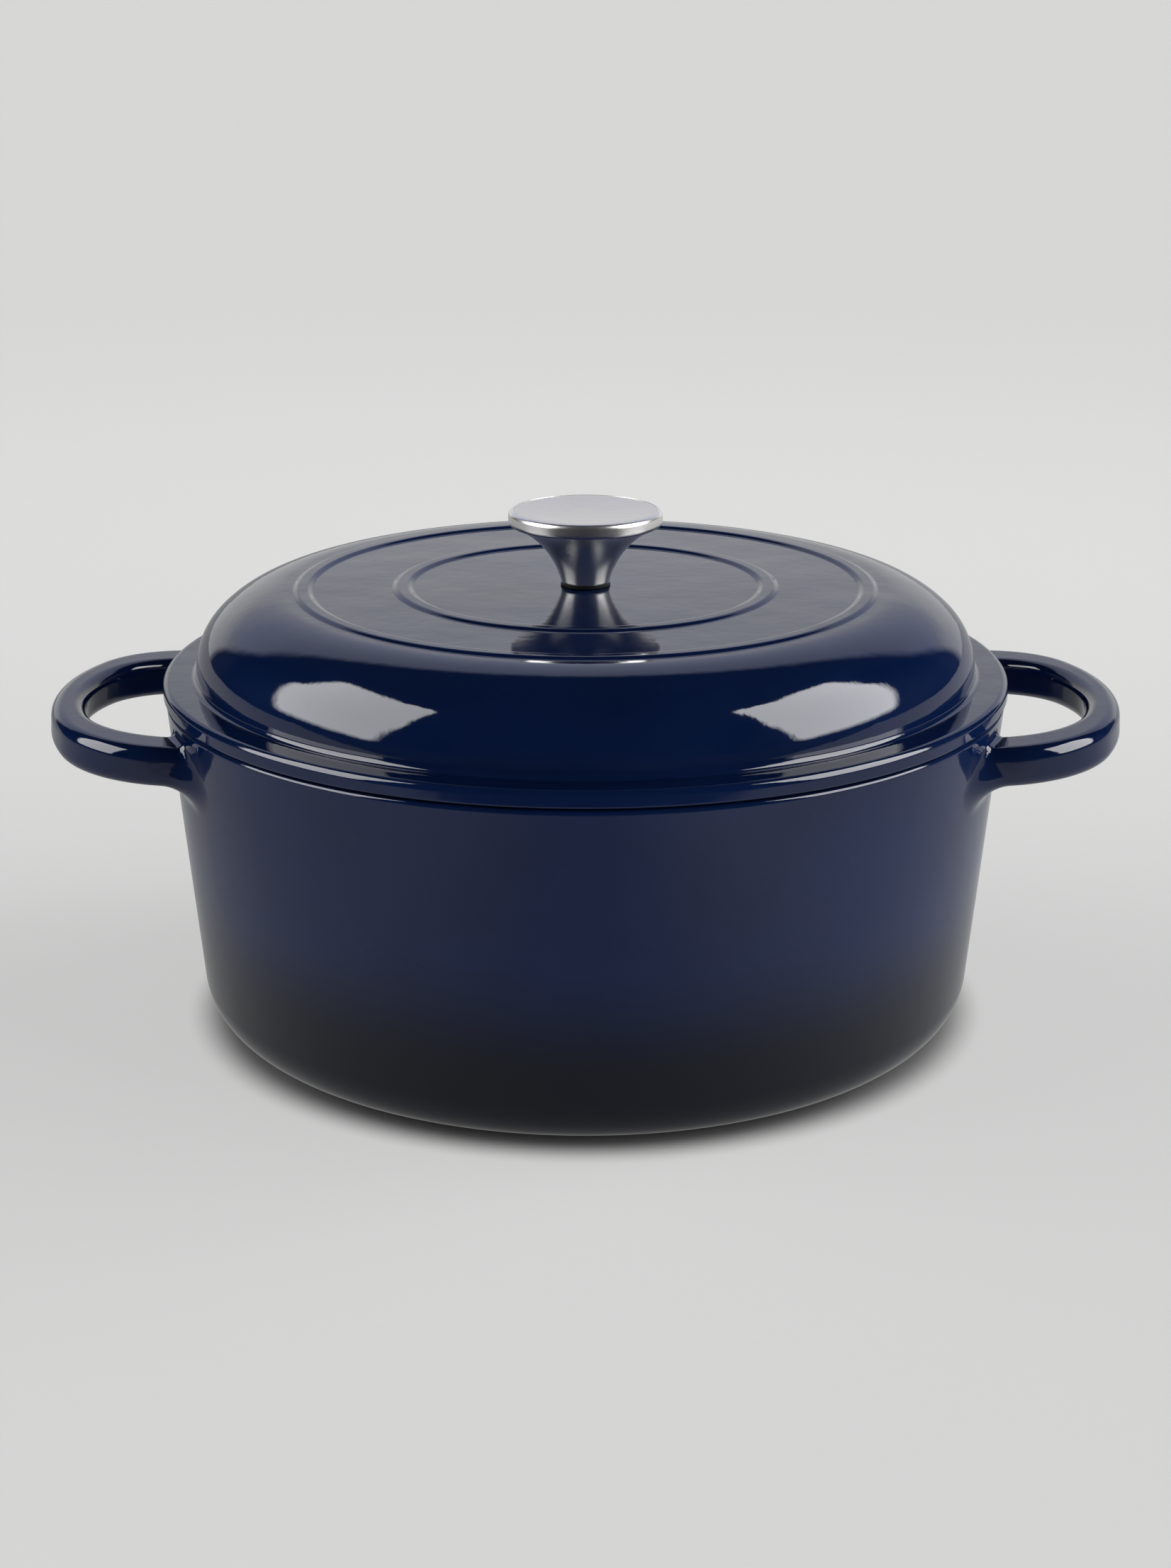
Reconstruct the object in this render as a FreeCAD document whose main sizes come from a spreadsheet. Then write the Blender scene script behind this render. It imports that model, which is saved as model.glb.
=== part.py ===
import FreeCAD, Part
import math
import os
import Sketcher

# Round enamelled cast iron dutch oven: a pot with two loop handles, a domed lid and a steel knob.
# Millimetres, +Z up, +X from handle to handle. The origin is the centre of the base.

os.makedirs("parts", exist_ok=True)
doc = FreeCAD.newDocument("dutch_oven")

DIMENSIONS = {
    # pot
    "rim_rad": 134.5,
    "rim_top": 108.4,
    "draft": 5.4,
    "wall_thick": 4.8,
    "floor_thick": 5.2,
    "base_round": 17.0,
    "inner_round": 13.0,
    "foot_recess": 0.8,
    "foot_in_rad": 98.0,
    "rim_round": 1.3,
    # loop handles
    "grip_low": 89.9,
    "grip_tilt": 3.4,
    "grip_thick": 12.6,
    "grip_reach": 172.4,
    "grip_half": 60.0,
    "grip_corner": 38.0,
    "grip_bow": 92.0,
    "grip_root": 112.0,
    "gap_reach": 161.8,
    "gap_half": 43.0,
    "gap_corner": 29.0,
    "gap_bow": 66.0,
    "grip_round": 4.0,
    "root_round": 3.4,
    # lid
    "flange_rad": 135.0,
    "flange_low": 109.2,
    "flange_thick": 5.1,
    "flange_round": 2.0,
    "flange_under": 0.7,
    "seat_drop": 0.5,
    "seat_out_rad": 132.6,
    "seat_in_rad": 128.8,
    "skirt_low": 103.6,
    "skirt_out_rad": 127.4,
    "skirt_in_rad": 122.6,
    "dome_rad": 124.4,
    "dome_side": 116.5,
    "lid_top": 140.5,
    "shoulder_in": 96.0,
    "shoulder_side": 21.0,
    "lid_thick": 4.5,
    "crease_round": 2.0,
    "skirt_round": 1.2,
    "ring_rad_in": 58.3,
    "ring_rad_out": 90.0,
    "ring_height": 1.4,
    "ring_width": 5.6,
    # knob
    "gasket_thick": 0.8,
    "gasket_rad": 7.9,
    "foot_rad": 7.65,
    "flare_round": 27.1,
    "flare_rad": 22.3,
    "flare_height": 18.5,
    "knob_rad": 24.5,
    "knob_height": 23.6,
    "rim_low": 19.2,
    "knob_edge": 1.5,
    "cap_rad": 22.8,
    "cap_thick": 1.4,
    "cap_dish": 0.5,
    "bush_rad": 4.6,
    "bush_length": 12.0,
    "hollow_rad": 18.5,
    "hollow_low": 12.8,
    "hollow_neck": 9.0,
    # screw and washers
    "screw_rad": 2.95,
    "thread_rad": 3.0,
    "hole_rad": 3.3,
    "washer_rad": 8.0,
    "washer_thick": 1.2,
    "washer_play": 0.02,
    "spring_rad": 5.4,
    "spring_thick": 1.6,
    "spring_turn": 348.0,
    "head_rad": 6.0,
    "head_height": 3.6,
    "head_round": 1.6,
    "screw_reach": 11.0,
    "slot_width": 1.4,
    "slot_reach": 2.6,
    "slot_depth": 1.6,
}

sheet = doc.addObject("Spreadsheet::Sheet", "dims")


def add_rows(cells, first_row):
    """Writes named cells below one another and gives the next free row."""
    for row, (alias, content) in enumerate(cells.items(), start=first_row):
        sheet.set(f"A{row}", alias)
        sheet.set(f"B{row}", str(content))
        sheet.setAlias(f"B{row}", alias)
        doc.recompute()
    return first_row + len(cells)


next_row = add_rows(DIMENSIONS, 1)

# Heights and radii that several pieces share.
SHARED = {
    "base_rad": "=rim_rad - rim_top * tan(draft * 1deg)",
    "inner_low_rad": "=rim_rad - wall_thick - (rim_top - floor_thick) * tan(draft * 1deg)",
    "inner_top_rad": "=rim_rad - wall_thick",
    "grip_axis_low": "=grip_low - grip_root * tan(grip_tilt * 1deg)",
    "flange_top": "=flange_low + flange_thick",
    "lid_under": "=lid_top - lid_thick",
    "shoulder_wide": "=dome_rad - shoulder_in",
    "shoulder_tall": "=lid_top - dome_side",
    "stem_low": "=lid_top + gasket_thick",
    "knob_top": "=lid_top + gasket_thick + knob_height",
    "washer_low": "=lid_top - lid_thick - washer_play - washer_thick",
    "head_top": "=lid_top - lid_thick - 2 * washer_play - washer_thick - spring_thick",
}
next_row = add_rows(SHARED, next_row)

# A loop handle's outline and its finger gap each run from a straight side into a corner arc and then
# into a wide bow across the end. These cells place the corner's centre and its joint with the bow.
for loop in ("grip", "gap"):
    bow_share = f"{loop}_bow / ({loop}_bow - {loop}_corner)"
    LOOP = {
        f"{loop}_spread": f"=sqrt(({loop}_bow - {loop}_corner)^2 - ({loop}_half - {loop}_corner)^2)",
        f"{loop}_turn_x": f"={loop}_reach - {loop}_bow + {loop}_spread",
        f"{loop}_join_x": f"={loop}_reach - {loop}_bow + {loop}_spread * {bow_share}",
        f"{loop}_join_y": f"=({loop}_half - {loop}_corner) * {bow_share}",
    }
    next_row = add_rows(LOOP, next_row)

# The lid's shoulder is two arcs that meet tangentially: a wide one from the flat top, then a tighter
# one down to the upright side. The wide radius and the joint follow from the tight radius.
SHOULDER = {
    "shoulder_top": "=(shoulder_wide^2 + shoulder_tall^2 - 2 * shoulder_wide * shoulder_side)"
    " / (2 * (shoulder_tall - shoulder_side))",
    "join_out": "=(shoulder_wide - shoulder_side) / (shoulder_top - shoulder_side)",
    "join_up": "=(shoulder_top - shoulder_tall) / (shoulder_top - shoulder_side)",
}
add_rows(SHOULDER, next_row)


def new_body(label):
    """An empty PartDesign body that names its piece."""
    body = doc.addObject("PartDesign::Body", label)
    body.Label = label
    body.Placement = FreeCAD.Placement()
    return body


def origin_plane(body, role):
    """One of a body's own origin planes, found by its role."""
    return next(plane for plane in body.Origin.OriginFeatures if plane.Role == role)


def pin_corner(sketch, line, end, axis, formula, origin_first):
    """Ties one coordinate of a line's end to a sheet formula."""
    kind = "DistanceX" if axis == 0 else "DistanceY"
    places = (-1, 1, line, end) if origin_first else (line, end, -1, 1)
    size = formula if origin_first else f"-({formula})"
    number = sketch.addConstraint(Sketcher.Constraint(kind, *places, abs(sketch.evalExpression(formula))))
    sketch.setExpression(f"Constraints[{number}]", size)


def new_sketch(body, name, role, corners, arcs=None, height=None, tilt=None):
    """A closed outline. Each corner is a pair of formulas. arcs maps the number of the corner
    where an arc starts to its radius formula and to its side: 1 bulges to the right of travel.
    tilt is an angle in degrees that lifts the outline's +X side."""
    arcs = arcs or {}
    sketch = body.newObject("Sketcher::SketchObject", name)
    sketch.AttachmentSupport = (origin_plane(body, role), [""])
    sketch.MapMode = "FlatFace"
    if height:
        sketch.setExpression(".AttachmentOffset.Base.z", height)
    if tilt:
        lean = FreeCAD.Rotation(FreeCAD.Vector(0, -1, 0), size_of(tilt))
        sketch.AttachmentOffset = FreeCAD.Placement(sketch.AttachmentOffset.Base, lean)
        sketch.setExpression(".AttachmentOffset.Rotation.Angle", f"{tilt} * 1deg")
    points = [
        FreeCAD.Vector(float(sketch.evalExpression(x)), float(sketch.evalExpression(y)), 0)
        for x, y in corners
    ]
    for number, start in enumerate(points):
        end = points[(number + 1) % len(points)]
        if number in arcs:
            radius, side = arcs[number]
            sketch.addGeometry(arc_between(start, end, float(sketch.evalExpression(radius)), side))
        else:
            sketch.addGeometry(Part.LineSegment(start, end))
    ends = [edge_ends(number, arcs) for number in range(len(points))]
    for number in range(len(points)):
        after = (number + 1) % len(points)
        joint = Sketcher.Constraint("Coincident", number, ends[number][1], after, ends[after][0])
        sketch.addConstraint(joint)
    for number, (x, y) in enumerate(corners):
        for axis, formula in enumerate((x, y)):
            positive = sketch.evalExpression(formula) >= 0
            pin_corner(sketch, number, ends[number][0], axis, formula, positive)
    for number, (radius, side) in arcs.items():
        size = float(sketch.evalExpression(radius))
        constraint = sketch.addConstraint(Sketcher.Constraint("Radius", number, size))
        sketch.setExpression(f"Constraints[{constraint}]", radius)
    return sketch


def arc_between(start, end, radius, side):
    """The short arc from start to end. Side 1 puts its middle to the right of travel, -1 to the left.
    A sketch keeps every arc anticlockwise, so one that bulges to the left is drawn from its end."""
    chord = end - start
    middle = (start + end) * 0.5
    right = FreeCAD.Vector(chord.y, -chord.x, 0).normalize()
    rise = radius - (radius**2 - (chord.Length / 2) ** 2) ** 0.5
    through = middle + right * rise * side
    return Part.Arc(start, through, end) if side > 0 else Part.Arc(end, through, start)


def edge_ends(number, arcs):
    """The sketch's numbers for an edge's start and end along the outline."""
    drawn_backwards = number in arcs and arcs[number][1] < 0
    return (2, 1) if drawn_backwards else (1, 2)


def revolve(body, kind, name, sketch, turn="360"):
    """Turns a sketch about the vertical axis, as added or removed material."""
    feature = body.newObject(f"PartDesign::{kind}", name)
    feature.Profile = sketch
    feature.ReferenceAxis = (sketch, ["V_Axis"])
    feature.setExpression("Angle", turn)
    feature.Refine = True
    sketch.Visibility = False
    doc.recompute()
    return feature


def fillet(body, name, radius, wanted):
    """Rounds every edge of the body's last feature that wanted(edge) accepts."""
    base = body.Tip
    names = [f"Edge{n}" for n, edge in enumerate(base.Shape.Edges, start=1) if wanted(edge)]
    if not names:
        raise ValueError(f"{name} found no edge")
    feature = body.newObject("PartDesign::Fillet", name)
    feature.Base = (base, names)
    feature.setExpression("Radius", radius)
    doc.recompute()
    if not feature.isValid():
        raise ValueError(f"{name} failed")
    return feature


def size_of(formula):
    """A sheet formula's value in millimetres."""
    return float(sheet.evalExpression(formula))


def circle_at(radius, height):
    """Accepts the full circles about the vertical axis with this radius and height."""
    radius_mm = size_of(radius)
    height_mm = size_of(height)

    def wanted(edge):
        return (
            isinstance(edge.Curve, Part.Circle)
            and abs(edge.Curve.Radius - radius_mm) < 0.01
            and abs(edge.Curve.Center.x) < 0.01
            and abs(edge.Curve.Center.y) < 0.01
            and abs(edge.Curve.Center.z - height_mm) < 0.01
        )

    return wanted


def require_cut(before, feature):
    """Stops the build when a cut removed nothing."""
    if feature.Shape.Volume > before - 1.0:
        raise ValueError(f"{feature.Name} cut nothing")


# The pot: a solid turned blank, the two loop handles, their roundings, then the cavity.
pot = new_body("pot")
blank_outline = new_sketch(
    pot,
    "pot_outside",
    "XZ_Plane",
    [
        ("0", "dims.foot_recess"),
        ("dims.foot_in_rad", "dims.foot_recess"),
        ("dims.foot_in_rad + dims.foot_recess", "0"),
        ("dims.base_rad", "0"),
        ("dims.rim_rad", "dims.rim_top"),
        ("0", "dims.rim_top"),
    ],
)
revolve(pot, "Revolution", "pot_blank", blank_outline)
fillet(pot, "base_corner", "dims.base_round", circle_at("dims.base_rad", "0 * dims.base_rad"))

grip_outline = new_sketch(
    pot,
    "grip_plan",
    "XY_Plane",
    [
        ("dims.grip_root", "-dims.grip_half"),
        ("dims.grip_turn_x", "-dims.grip_half"),
        ("dims.grip_join_x", "-dims.grip_join_y"),
        ("dims.grip_join_x", "dims.grip_join_y"),
        ("dims.grip_turn_x", "dims.grip_half"),
        ("dims.grip_root", "dims.grip_half"),
        ("dims.grip_root", "dims.gap_half"),
        ("dims.gap_turn_x", "dims.gap_half"),
        ("dims.gap_join_x", "dims.gap_join_y"),
        ("dims.gap_join_x", "-dims.gap_join_y"),
        ("dims.gap_turn_x", "-dims.gap_half"),
        ("dims.grip_root", "-dims.gap_half"),
    ],
    arcs={
        1: ("dims.grip_corner", 1),
        2: ("dims.grip_bow", 1),
        3: ("dims.grip_corner", 1),
        7: ("dims.gap_corner", -1),
        8: ("dims.gap_bow", -1),
        9: ("dims.gap_corner", -1),
    },
    height="dims.grip_axis_low",
    tilt="dims.grip_tilt",
)
grip = pot.newObject("PartDesign::Pad", "grip_plate")
grip.Profile = grip_outline
grip.setExpression("Length", "dims.grip_thick")
grip_outline.Visibility = False
doc.recompute()
second_grip = pot.newObject("PartDesign::Mirrored", "second_grip")
second_grip.Originals = [grip]
second_grip.MirrorPlane = (origin_plane(pot, "YZ_Plane"), [""])
second_grip.Refine = True
pot.Tip = second_grip
doc.recompute()


wall_slope = size_of("tan(dims.draft * 1deg)")
grip_lean = math.radians(size_of("dims.grip_tilt"))
grip_thick = size_of("dims.grip_thick")


def height_in_grip(point):
    """A point's height over the nearer loop handle's underside, square to it."""
    above_axis = point.z - size_of("dims.grip_axis_low")
    return above_axis * math.cos(grip_lean) - abs(point.x) * math.sin(grip_lean)


def is_on_wall(point):
    """Whether a point lies on the drafted outside of the wall."""
    wall_rad = size_of("dims.rim_rad") - (size_of("dims.rim_top") - point.z) * wall_slope
    return abs(math.hypot(point.x, point.y) - wall_rad) < 0.05


def points_along(edge):
    """An edge's two ends and its middle."""
    turns = (edge.FirstParameter, (edge.FirstParameter + edge.LastParameter) / 2, edge.LastParameter)
    return [edge.valueAt(turn) for turn in turns]


def is_grip_outline(edge):
    """The edges of a loop handle's upper and lower faces, clear of the wall."""
    points = points_along(edge)
    heights = [height_in_grip(point) for point in points]
    in_face = any(max(abs(height - face) for height in heights) < 0.01 for face in (0, grip_thick))
    return in_face and not is_on_wall(points[1])


def is_grip_root(edge):
    """The edges where a loop handle meets the drafted wall."""
    points = points_along(edge)
    return all(is_on_wall(point) and -0.1 < height_in_grip(point) < grip_thick + 0.1 for point in points)


fillet(pot, "grip_edges", "dims.grip_round", is_grip_outline)
fillet(pot, "grip_roots", "dims.root_round", is_grip_root)

cavity_outline = new_sketch(
    pot,
    "pot_inside",
    "XZ_Plane",
    [
        ("0", "dims.floor_thick"),
        ("dims.inner_low_rad", "dims.floor_thick"),
        ("dims.inner_top_rad", "dims.rim_top"),
        ("dims.inner_top_rad", "dims.rim_top + 1"),
        ("0", "dims.rim_top + 1"),
    ],
)
volume_before = pot.Tip.Shape.Volume
cavity = revolve(pot, "Groove", "pot_cavity", cavity_outline)
require_cut(volume_before, cavity)
fillet(pot, "inner_corner", "dims.inner_round", circle_at("dims.inner_low_rad", "dims.floor_thick"))
fillet(pot, "rim_outer_edge", "dims.rim_round", circle_at("dims.rim_rad", "dims.rim_top"))
fillet(pot, "rim_inner_edge", "dims.rim_round", circle_at("dims.inner_top_rad", "dims.rim_top"))


def join_point(inset):
    """Where the shoulder's two arcs meet, this far inside the outer surface."""
    radius = f"(dims.shoulder_top - {inset})"
    return (
        f"dims.shoulder_in + {radius} * dims.join_out",
        f"dims.lid_top - dims.shoulder_top + {radius} * dims.join_up",
    )


# The lid: one casting with its flange, seat, skirt, domed shoulder and flat top.
lid = new_body("lid")
lid_outline = new_sketch(
    lid,
    "lid_section",
    "XZ_Plane",
    [
        ("dims.hole_rad", "dims.lid_top"),
        ("dims.shoulder_in", "dims.lid_top"),
        join_point("0"),
        ("dims.dome_rad", "dims.dome_side"),
        ("dims.dome_rad", "dims.flange_top"),
        ("dims.flange_rad", "dims.flange_top"),
        ("dims.flange_rad", "dims.flange_low"),
        ("dims.seat_out_rad", "dims.flange_low"),
        ("dims.seat_out_rad", "dims.flange_low - dims.seat_drop"),
        ("dims.seat_in_rad", "dims.flange_low - dims.seat_drop"),
        ("dims.skirt_out_rad", "dims.skirt_low"),
        ("dims.skirt_in_rad", "dims.skirt_low"),
        ("dims.dome_rad - dims.lid_thick", "dims.dome_side"),
        join_point("dims.lid_thick"),
        ("dims.shoulder_in", "dims.lid_under"),
        ("dims.hole_rad", "dims.lid_under"),
    ],
    arcs={
        1: ("dims.shoulder_top", -1),
        2: ("dims.shoulder_side", -1),
        12: ("dims.shoulder_side - dims.lid_thick", 1),
        13: ("dims.shoulder_top - dims.lid_thick", 1),
    },
)
revolve(lid, "Revolution", "lid_shell", lid_outline)
fillet(lid, "dome_foot", "dims.crease_round", circle_at("dims.dome_rad", "dims.flange_top"))
fillet(lid, "flange_upper_edge", "dims.flange_round", circle_at("dims.flange_rad", "dims.flange_top"))
fillet(lid, "flange_lower_edge", "dims.flange_under", circle_at("dims.flange_rad", "dims.flange_low"))
fillet(lid, "skirt_outer_edge", "dims.skirt_round", circle_at("dims.skirt_out_rad", "dims.skirt_low"))
fillet(lid, "skirt_inner_edge", "dims.skirt_round", circle_at("dims.skirt_in_rad", "dims.skirt_low"))

RING_ROUND = "(dims.ring_width^2 / 4 + dims.ring_height^2) / (2 * dims.ring_height)"
RING_ROOT = "dims.lid_top - dims.ring_height"
for name, ring in (("inner_ring", "dims.ring_rad_in"), ("outer_ring", "dims.ring_rad_out")):
    ring_outline = new_sketch(
        lid,
        f"{name}_section",
        "XZ_Plane",
        [
            (f"{ring} - dims.ring_width / 2", "dims.lid_top"),
            (f"{ring} + dims.ring_width / 2", "dims.lid_top"),
            (f"{ring} + dims.ring_width / 2", RING_ROOT),
            (f"{ring} - dims.ring_width / 2", RING_ROOT),
        ],
        arcs={0: (RING_ROUND, -1)},
    )
    revolve(lid, "Revolution", name, ring_outline)

# The knob's stem flares on one concave arc into a rounded rim. It is hollow under the cap.
knob_body = new_body("knob_body")
knob_outline = new_sketch(
    knob_body,
    "knob_section",
    "XZ_Plane",
    [
        ("dims.bush_rad", "dims.stem_low"),
        ("dims.foot_rad", "dims.stem_low"),
        ("dims.flare_rad", "dims.stem_low + dims.flare_height"),
        ("dims.knob_rad", "dims.stem_low + dims.rim_low"),
        ("dims.knob_rad", "dims.knob_top"),
        ("dims.cap_rad", "dims.knob_top"),
        ("dims.cap_rad", "dims.knob_top - dims.cap_thick"),
        ("dims.hollow_rad", "dims.knob_top - dims.cap_thick"),
        ("dims.hollow_rad", "dims.stem_low + dims.flare_height"),
        ("dims.hollow_neck", "dims.stem_low + dims.hollow_low"),
        ("dims.bush_rad", "dims.stem_low + dims.hollow_low"),
    ],
    arcs={1: ("dims.flare_round", -1)},
)
revolve(knob_body, "Revolution", "knob_shell", knob_outline)
RIM_EDGES = {"rim_upper_edge": "dims.knob_top", "rim_lower_edge": "dims.stem_low + dims.rim_low"}
for name, height in RIM_EDGES.items():
    fillet(knob_body, name, "dims.knob_edge", circle_at("dims.knob_rad", height))

# The cap closes the knob and is dished slightly.
knob_cap = new_body("knob_cap")
cap_outline = new_sketch(
    knob_cap,
    "cap_section",
    "XZ_Plane",
    [
        ("0", "dims.knob_top - dims.cap_dish"),
        ("dims.cap_rad", "dims.knob_top"),
        ("dims.cap_rad", "dims.knob_top - dims.cap_thick"),
        ("0", "dims.knob_top - dims.cap_thick"),
    ],
    arcs={0: ("(dims.cap_rad^2 + dims.cap_dish^2) / (2 * dims.cap_dish)", 1)},
)
revolve(knob_cap, "Revolution", "cap_disc", cap_outline)


def new_ring(label, inner, outer, low, high, turn="360"):
    """A flat ring turned about the vertical axis."""
    body = new_body(label)
    corners = [(inner, low), (outer, low), (outer, high), (inner, high)]
    outline = new_sketch(body, f"{label}_section", "XZ_Plane", corners)
    revolve(body, "Revolution", f"{label}_ring", outline, turn)
    return body


knob_insert = new_ring(
    "knob_insert", "dims.thread_rad", "dims.bush_rad", "dims.stem_low", "dims.stem_low + dims.bush_length"
)
knob_gasket = new_ring("knob_gasket", "dims.hole_rad", "dims.gasket_rad", "dims.lid_top", "dims.stem_low")
flat_washer = new_ring(
    "flat_washer",
    "dims.hole_rad",
    "dims.washer_rad",
    "dims.washer_low",
    "dims.washer_low + dims.washer_thick",
)
spring_washer = new_ring(
    "spring_washer",
    "dims.hole_rad",
    "dims.spring_rad",
    "dims.head_top",
    "dims.head_top + dims.spring_thick",
    "dims.spring_turn",
)

# The screw goes up through the lid into the bush. Its head is crowned and has a cross recess.
knob_screw = new_body("knob_screw")
HEAD_LOW = "dims.head_top - dims.head_height"
screw_outline = new_sketch(
    knob_screw,
    "screw_section",
    "XZ_Plane",
    [
        ("0", HEAD_LOW),
        ("dims.head_rad", HEAD_LOW),
        ("dims.head_rad", "dims.head_top"),
        ("dims.screw_rad", "dims.head_top"),
        ("dims.screw_rad", "dims.stem_low + dims.screw_reach"),
        ("0", "dims.stem_low + dims.screw_reach"),
    ],
)
revolve(knob_screw, "Revolution", "screw_blank", screw_outline)
fillet(knob_screw, "head_crown", "dims.head_round", circle_at("dims.head_rad", HEAD_LOW))
SLOT = "dims.slot_width / 2"
ARM = "dims.slot_reach"
recess_outline = new_sketch(
    knob_screw,
    "recess_plan",
    "XY_Plane",
    [
        (ARM, f"-{SLOT}"),
        (ARM, SLOT),
        (SLOT, SLOT),
        (SLOT, ARM),
        (f"-{SLOT}", ARM),
        (f"-{SLOT}", SLOT),
        (f"-{ARM}", SLOT),
        (f"-{ARM}", f"-{SLOT}"),
        (f"-{SLOT}", f"-{SLOT}"),
        (f"-{SLOT}", f"-{ARM}"),
        (SLOT, f"-{ARM}"),
        (SLOT, f"-{SLOT}"),
    ],
    height=HEAD_LOW,
)
volume_before = knob_screw.Tip.Shape.Volume
recess = knob_screw.newObject("PartDesign::Pocket", "cross_recess")
recess.Profile = recess_outline
recess.setExpression("Length", "dims.slot_depth")
recess.Reversed = True
recess_outline.Visibility = False
doc.recompute()
require_cut(volume_before, recess)

PIECES = [
    pot,
    lid,
    knob_body,
    knob_cap,
    knob_insert,
    knob_gasket,
    knob_screw,
    spring_washer,
    flat_washer,
]
doc.recompute()
for item in doc.Objects:
    if "Invalid" in item.State or "Error" in item.State:
        raise ValueError(f"{item.Name} is in state {item.State}")
for piece in PIECES:
    if piece.Shape.isNull() or not piece.Shape.isValid():
        raise ValueError(f"{piece.Label} has a bad shape")
    piece.Shape.exportStep(f"parts/{piece.Label}.step")
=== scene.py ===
import math

import bpy
import numpy as np
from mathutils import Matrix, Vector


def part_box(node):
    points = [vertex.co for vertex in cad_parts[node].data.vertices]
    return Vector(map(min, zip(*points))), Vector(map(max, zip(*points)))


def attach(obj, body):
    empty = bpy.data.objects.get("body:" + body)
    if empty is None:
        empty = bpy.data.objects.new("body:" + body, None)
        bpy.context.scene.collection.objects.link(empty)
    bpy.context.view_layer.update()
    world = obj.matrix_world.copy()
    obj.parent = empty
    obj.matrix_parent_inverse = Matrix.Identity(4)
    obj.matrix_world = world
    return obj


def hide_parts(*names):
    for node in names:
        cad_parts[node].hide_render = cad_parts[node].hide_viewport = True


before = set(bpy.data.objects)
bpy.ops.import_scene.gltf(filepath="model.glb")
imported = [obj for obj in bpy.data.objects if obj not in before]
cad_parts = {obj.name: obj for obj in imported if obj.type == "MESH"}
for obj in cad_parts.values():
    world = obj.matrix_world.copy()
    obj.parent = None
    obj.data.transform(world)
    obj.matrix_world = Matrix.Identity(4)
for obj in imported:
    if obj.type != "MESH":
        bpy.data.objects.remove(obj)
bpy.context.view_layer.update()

# Round enamelled dutch oven in a pale studio. Lengths are in metres.
# A section is drawn as points of (distance from the axis, height).

MM = 0.001
cad_box = {node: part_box(node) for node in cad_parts}


def top_of(node):
    return cad_box[node][1][2]


def bottom_of(node):
    return cad_box[node][0][2]


def radius_of(node):
    return cad_box[node][1][1]


# ---------------------------------------------------------------- section lines


def arc(centre, radius, start, end, steps):
    """Points along a circular arc of a section, from start to end in degrees, both included."""
    turns = np.radians(np.linspace(start, end, steps + 1))
    return [(centre[0] + radius * math.cos(t), centre[1] + radius * math.sin(t)) for t in turns]


def soften(before, corner, after, rounding):
    """The arc that replaces a corner of a section, tangent to both of its sides."""
    corner = np.array(corner)
    towards_before = np.array(before) - corner
    towards_after = np.array(after) - corner
    towards_before = towards_before / np.linalg.norm(towards_before)
    towards_after = towards_after / np.linalg.norm(towards_after)
    half_angle = math.acos(float(np.clip(towards_before @ towards_after, -1, 1))) / 2
    along = rounding / math.tan(half_angle)
    middle = towards_before + towards_after
    centre = corner + middle / np.linalg.norm(middle) * rounding / math.sin(half_angle)
    first = corner + towards_before * along - centre
    last = corner + towards_after * along - centre
    sweep = math.acos(float(np.clip(first @ last, -rounding**2, rounding**2)) / rounding**2)
    steps = max(4, round(math.degrees(sweep) / 5))
    points = []
    for share in np.linspace(0, 1, steps + 1):
        from_first = math.sin((1 - share) * sweep) * first
        from_last = math.sin(share * sweep) * last
        points.append(tuple(centre + (from_first + from_last) / math.sin(sweep)))
    return points


def section(corners):
    """Turns corners (distance, height, rounding, skin) into section points and the skin after each."""
    points = []
    skins = []
    for number, (distance, height, rounding, skin) in enumerate(corners):
        added = [(distance, height)]
        if rounding:
            before = corners[number - 1][:2]
            after = corners[number + 1][:2]
            added = soften(before, (distance, height), after, rounding)
        points += added
        skins += [skin] * len(added)
    return points, skins


# ---------------------------------------------------------------- meshes


def new_mesh(name, points, faces, skins, materials):
    """A smooth-shaded object. skins gives each face's place in the list of materials."""
    mesh = bpy.data.meshes.new(name)
    mesh.from_pydata([tuple(map(float, p)) for p in points], [], faces)
    for material in materials:
        mesh.materials.append(material)
    mesh.polygons.foreach_set("material_index", skins)
    mesh.polygons.foreach_set("use_smooth", [True] * len(faces))
    mesh.update()
    piece = bpy.data.objects.new(name, mesh)
    piece.modifiers.new("flats_shade_flat", "WEIGHTED_NORMAL")
    bpy.context.scene.collection.objects.link(piece)
    return piece


def lathe_grid(points, segments):
    """Turns section points about the Z axis. Gives the vertices and a table of vertex numbers by
    section point and segment; a point on the axis is one vertex."""
    turns = np.arange(segments) * 2 * math.pi / segments
    vertices = []
    table = []
    for distance, height in points:
        if distance < 1e-6:
            table.append([len(vertices)] * segments)
            vertices.append((0.0, 0.0, height))
            continue
        table.append(list(range(len(vertices), len(vertices) + segments)))
        vertices += [(distance * math.cos(t), distance * math.sin(t), height) for t in turns]
    return vertices, table


def lathe_faces(table, skins, skipped=()):
    """Quads and axis triangles between neighbouring section points, leaving out the skipped cells."""
    faces = []
    face_skins = []
    segments = len(table[0])
    for row in range(len(table) - 1):
        for column in range(segments):
            if (row, column) in skipped:
                continue
            after = (column + 1) % segments
            this_row = table[row]
            next_row = table[row + 1]
            corners = [this_row[column], this_row[after], next_row[after], next_row[column]]
            faces.append(list(dict.fromkeys(corners)))
            face_skins.append(skins[row])
    return faces, face_skins


def turned_piece(name, corners, segments, materials):
    """A piece turned on a lathe from its section's corners."""
    points, skins = section(corners)
    vertices, table = lathe_grid(points, segments)
    faces, face_skins = lathe_faces(table, skins)
    return new_mesh(name, vertices, faces, face_skins, materials)


def stand_for(piece, node, body):
    """Makes a piece ride on its body in place of the CAD node of the same shape."""
    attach(piece, body)
    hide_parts(node)


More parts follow.
